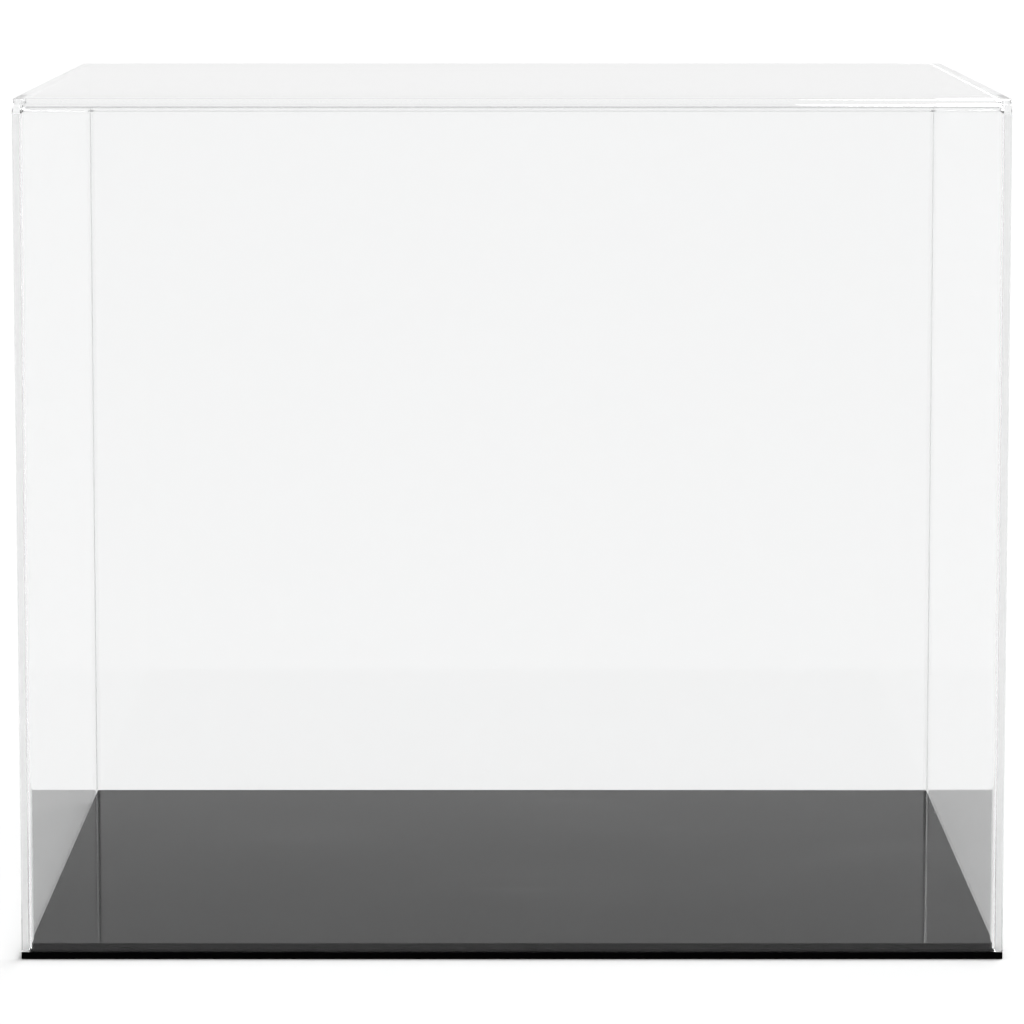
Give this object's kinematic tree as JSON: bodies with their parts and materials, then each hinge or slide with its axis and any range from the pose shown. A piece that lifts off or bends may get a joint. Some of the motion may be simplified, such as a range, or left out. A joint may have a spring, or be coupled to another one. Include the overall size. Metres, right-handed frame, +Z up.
{
  "type": "acrylic display cube",
  "caption": "Clear acrylic dust cover that lifts off a black acrylic base with a raised deck, for showing collectables, models and exhibits.",
  "frame": {"origin": "centre of the underside of the base", "axes": "+X along the width to the right, seen from the front; +Y to the rear, with the front facing -Y; +Z up"},
  "size_m": [0.4, 0.36, 0.35],
  "materials": {
    "black_acrylic": "glossy",
    "bond_film": "matte",
    "clear_acrylic": "clear gloss",
    "seam_cement": "clear gloss"
  },
  "bodies": {
    "base": {"base_plate": "black_acrylic", "riser_plate": "black_acrylic", "riser_adhesive": "bond_film"},
    "cover": {"cover_wrap": "clear_acrylic", "left_side_panel": "clear_acrylic", "right_side_panel": "clear_acrylic", "left_seam_cement": "seam_cement", "right_seam_cement": "seam_cement"}
  },
  "joints": [
    {"name": "cover_lift", "type": "slide", "parent": "base", "child": "cover", "axis": [0, 0, 1], "range_m": [0, 0.36]}
  ]
}
